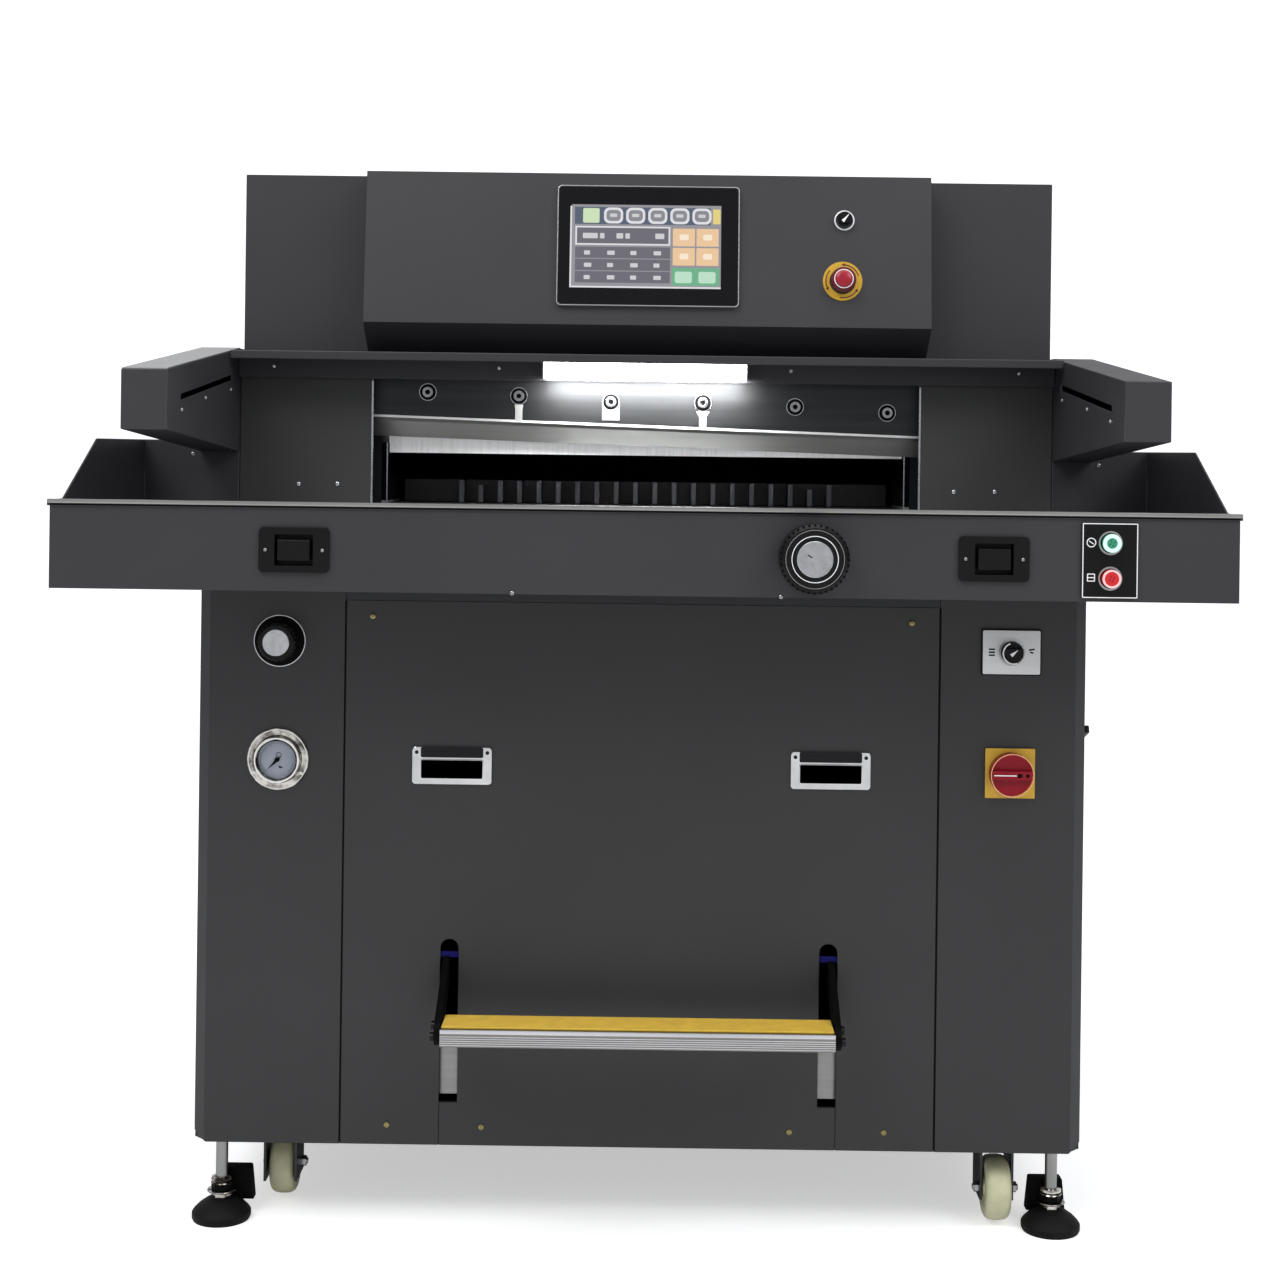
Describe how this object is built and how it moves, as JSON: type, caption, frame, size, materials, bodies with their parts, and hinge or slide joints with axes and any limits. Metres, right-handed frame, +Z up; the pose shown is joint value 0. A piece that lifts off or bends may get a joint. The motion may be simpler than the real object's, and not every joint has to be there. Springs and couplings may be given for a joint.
{
  "type": "hydraulic paper cutter",
  "caption": "Free-standing hydraulic guillotine for paper stacks, with swing knife, clamp, driven back gauge, touch screen, light guard arms, side tables and foot pedal.",
  "frame": {"origin": "bottom centre of the whole machine, on the floor under its middle", "axes": "+Z up, -Y towards the operator, +X to the operator's right"},
  "size_m": [1.299, 1.24, 1.2635],
  "materials": {
    "charcoal_paint": "fine-textured charcoal powder coat",
    "dark_paint": "dark grey satin paint",
    "blue_paint": "dark blue satin paint",
    "black_plastic": "matt black",
    "red_plastic": "satin red",
    "green_plastic": "lit green",
    "white_plastic": "glowing white diffuser",
    "cream_plastic": "cream nylon",
    "screen_black": "glossy black with a lit display",
    "brushed_steel": "ground steel",
    "cast_iron": "machined and painted iron",
    "chrome": "polished",
    "aluminium": "satin",
    "black_rubber": "matt black"
  },
  "bodies": {
    "machine": {"base_frame": "dark_paint", "centre_door": "charcoal_paint", "console_housing": "charcoal_paint", "cutting_stick": "red_plastic", "front_apron": "charcoal_paint", "knife_cylinder": "brushed_steel", "lamp": "white_plastic", "ledge_cover": "charcoal_paint", "left_arm_housing": "charcoal_paint", "left_cheek_cover": "charcoal_paint", "left_cut_plate": "black_plastic", "left_pull_handle": "chrome", "left_side_cover": "charcoal_paint", "left_side_table": "charcoal_paint", "lower_panel": "charcoal_paint", "portal_frame": "cast_iron", "power_pack": "blue_paint", "pressure_gauge": "chrome", "push_plate": "black_plastic", "rear_panel": "charcoal_paint", "rear_table": "brushed_steel", "right_arm_housing": "charcoal_paint", "right_cheek_cover": "charcoal_paint", "right_cut_plate": "black_plastic", "right_pull_handle": "chrome", "right_side_cover": "charcoal_paint", "right_side_table": "charcoal_paint", "table_bed": "brushed_steel", "touch_screen": "screen_black", "upper_casing": "charcoal_paint"},
    "knife_slide": {"knife_slide": "brushed_steel"},
    "knife": {"knife_carrier": "dark_paint", "knife_blade": "brushed_steel"},
    "clamp": {"clamp_beam": "brushed_steel"},
    "gauge": {"back_gauge": "aluminium"},
    "lead_screw": {"lead_screw": "brushed_steel"},
    "handwheel": {"handwheel": "black_plastic"},
    "key_switch": {"key_switch_knob": "black_plastic"},
    "estop": {"estop_button": "red_plastic"},
    "start_push": {"start_button": "green_plastic"},
    "stop_push": {"stop_button": "red_plastic"},
    "left_cut_push": {"left_cut_button": "black_plastic"},
    "right_cut_push": {"right_cut_button": "black_plastic"},
    "pressure_knob": {"pressure_knob": "black_plastic"},
    "needle": {"gauge_needle": "brushed_steel"},
    "selector": {"selector_knob": "black_plastic"},
    "main_switch": {"main_switch_knob": "red_plastic"},
    "latch": {"side_latch": "black_plastic"},
    "pedal": {"pedal_arms": "dark_paint", "pedal_bar": "aluminium"},
    "front_left_fork": {"front_left_castor_fork": "brushed_steel"},
    "front_right_fork": {"front_right_castor_fork": "brushed_steel"},
    "front_left_roller": {"front_left_wheel": "cream_plastic"},
    "front_right_roller": {"front_right_wheel": "cream_plastic"},
    "rear_left_roller": {"rear_left_wheel": "cream_plastic"},
    "rear_right_roller": {"rear_right_wheel": "cream_plastic"},
    "front_left_pad": {"front_left_foot": "black_rubber"},
    "front_right_pad": {"front_right_foot": "black_rubber"},
    "rear_left_pad": {"rear_left_foot": "black_rubber"},
    "rear_right_pad": {"rear_right_foot": "black_rubber"}
  },
  "joints": [
    {"name": "knife_stroke", "type": "slide", "parent": "machine", "child": "knife_slide", "axis": [0.5043, 0, -0.8636], "range_m": [0, 0.07932]},
    {"name": "knife_level", "type": "hinge", "parent": "knife_slide", "child": "knife", "pos_m": [0.375, -0.1233, 0.9888], "axis": [0, -1, 0], "range_deg": [0, 1.6], "stiffness_Nm_per_rad": 50, "springref_deg": -81.36},
    {"name": "clamp_stroke", "type": "slide", "parent": "machine", "child": "clamp", "axis": [0, 0, -1], "range_m": [0, 0.0667], "stiffness_N_per_m": 2000, "springref_m": -0.25},
    {"name": "gauge_travel", "type": "slide", "parent": "machine", "child": "gauge", "axis": [0, 1, 0], "range_m": [-0.058, 0.55]},
    {"name": "lead_screw_turn", "type": "hinge", "parent": "machine", "child": "lead_screw", "pos_m": [0, -0.0927, 0.785], "axis": [0, 1, 0], "continuous": true},
    {"name": "handwheel_turn", "type": "hinge", "parent": "machine", "child": "handwheel", "pos_m": [0.183, -0.58, 0.8], "axis": [0, 1, 0], "continuous": true},
    {"name": "key_switch_turn", "type": "hinge", "parent": "machine", "child": "key_switch", "pos_m": [0.247, -0.21914, 1.20719], "axis": [0, 0.9941, -0.1084], "range_deg": [-45, 45]},
    {"name": "estop_press", "type": "slide", "parent": "machine", "child": "estop", "axis": [0, 0.9941, -0.1084], "range_m": [0, 0.004]},
    {"name": "start_press", "type": "slide", "parent": "machine", "child": "start_push", "axis": [0, 1, 0], "range_m": [0, 0.004], "stiffness_N_per_m": 400, "springref_m": -0.002},
    {"name": "stop_press", "type": "slide", "parent": "machine", "child": "stop_push", "axis": [0, 1, 0], "range_m": [0, 0.004], "stiffness_N_per_m": 400, "springref_m": -0.002},
    {"name": "left_cut_press", "type": "slide", "parent": "machine", "child": "left_cut_push", "axis": [0, 1, 0], "range_m": [0, 0.004], "stiffness_N_per_m": 400, "springref_m": -0.002},
    {"name": "right_cut_press", "type": "slide", "parent": "machine", "child": "right_cut_push", "axis": [0, 1, 0], "range_m": [0, 0.004], "stiffness_N_per_m": 400, "springref_m": -0.002},
    {"name": "pressure_knob_turn", "type": "hinge", "parent": "machine", "child": "pressure_knob", "pos_m": [-0.4245, -0.412, 0.686], "axis": [0, 1, 0], "continuous": true},
    {"name": "needle_swing", "type": "hinge", "parent": "machine", "child": "needle", "pos_m": [-0.4245, -0.412, 0.548], "axis": [0, 1, 0], "range_deg": [0, 270], "stiffness_Nm_per_rad": 0.0001, "springref_deg": -17.19},
    {"name": "selector_turn", "type": "hinge", "parent": "machine", "child": "selector", "pos_m": [0.43, -0.412, 0.684], "axis": [0, 1, 0], "range_deg": [-45, 45]},
    {"name": "main_switch_turn", "type": "hinge", "parent": "machine", "child": "main_switch", "pos_m": [0.43, -0.412, 0.543], "axis": [0, 1, 0], "range_deg": [0, 90]},
    {"name": "latch_turn", "type": "hinge", "parent": "machine", "child": "latch", "pos_m": [0.52, -0.312, 0.575], "axis": [1, 0, 0], "range_deg": [0, 90]},
    {"name": "pedal_press", "type": "hinge", "parent": "machine", "child": "pedal", "pos_m": [0, -0.33, 0.345], "axis": [1, 0, 0], "range_deg": [0, 15], "stiffness_Nm_per_rad": 10, "springref_deg": -45.84},
    {"name": "front_left_swivel", "type": "hinge", "parent": "machine", "child": "front_left_fork", "pos_m": [-0.428, -0.332, 0.099], "axis": [0, 0, 1], "range_deg": [-180, 75]},
    {"name": "front_left_roll", "type": "hinge", "parent": "front_left_fork", "child": "front_left_roller", "pos_m": [-0.428, -0.304, 0.0415], "axis": [1, 0, 0], "continuous": true},
    {"name": "rear_left_roll", "type": "hinge", "parent": "machine", "child": "rear_left_roller", "pos_m": [-0.428, 0.24, 0.0415], "axis": [1, 0, 0], "continuous": true},
    {"name": "front_left_foot_turn", "type": "hinge", "parent": "machine", "child": "front_left_pad", "pos_m": [-0.49, -0.383, 0], "axis": [0, 0, 1], "continuous": true},
    {"name": "rear_left_foot_turn", "type": "hinge", "parent": "machine", "child": "rear_left_pad", "pos_m": [-0.49, 0.285, 0], "axis": [0, 0, 1], "continuous": true},
    {"name": "front_right_swivel", "type": "hinge", "parent": "machine", "child": "front_right_fork", "pos_m": [0.428, -0.332, 0.099], "axis": [0, 0, 1], "range_deg": [-250, 0]},
    {"name": "front_right_roll", "type": "hinge", "parent": "front_right_fork", "child": "front_right_roller", "pos_m": [0.428, -0.36, 0.0415], "axis": [1, 0, 0], "continuous": true},
    {"name": "rear_right_roll", "type": "hinge", "parent": "machine", "child": "rear_right_roller", "pos_m": [0.428, 0.24, 0.0415], "axis": [1, 0, 0], "continuous": true},
    {"name": "front_right_foot_turn", "type": "hinge", "parent": "machine", "child": "front_right_pad", "pos_m": [0.49, -0.383, 0], "axis": [0, 0, 1], "continuous": true},
    {"name": "rear_right_foot_turn", "type": "hinge", "parent": "machine", "child": "rear_right_pad", "pos_m": [0.49, 0.285, 0], "axis": [0, 0, 1], "continuous": true}
  ],
  "couplings": [
    {"joint": "knife_level", "follows": "knife_stroke", "rad_per_m": 0.35204},
    {"joint": "lead_screw_turn", "follows": "gauge_travel", "rad_per_m": -314.16}
  ]
}
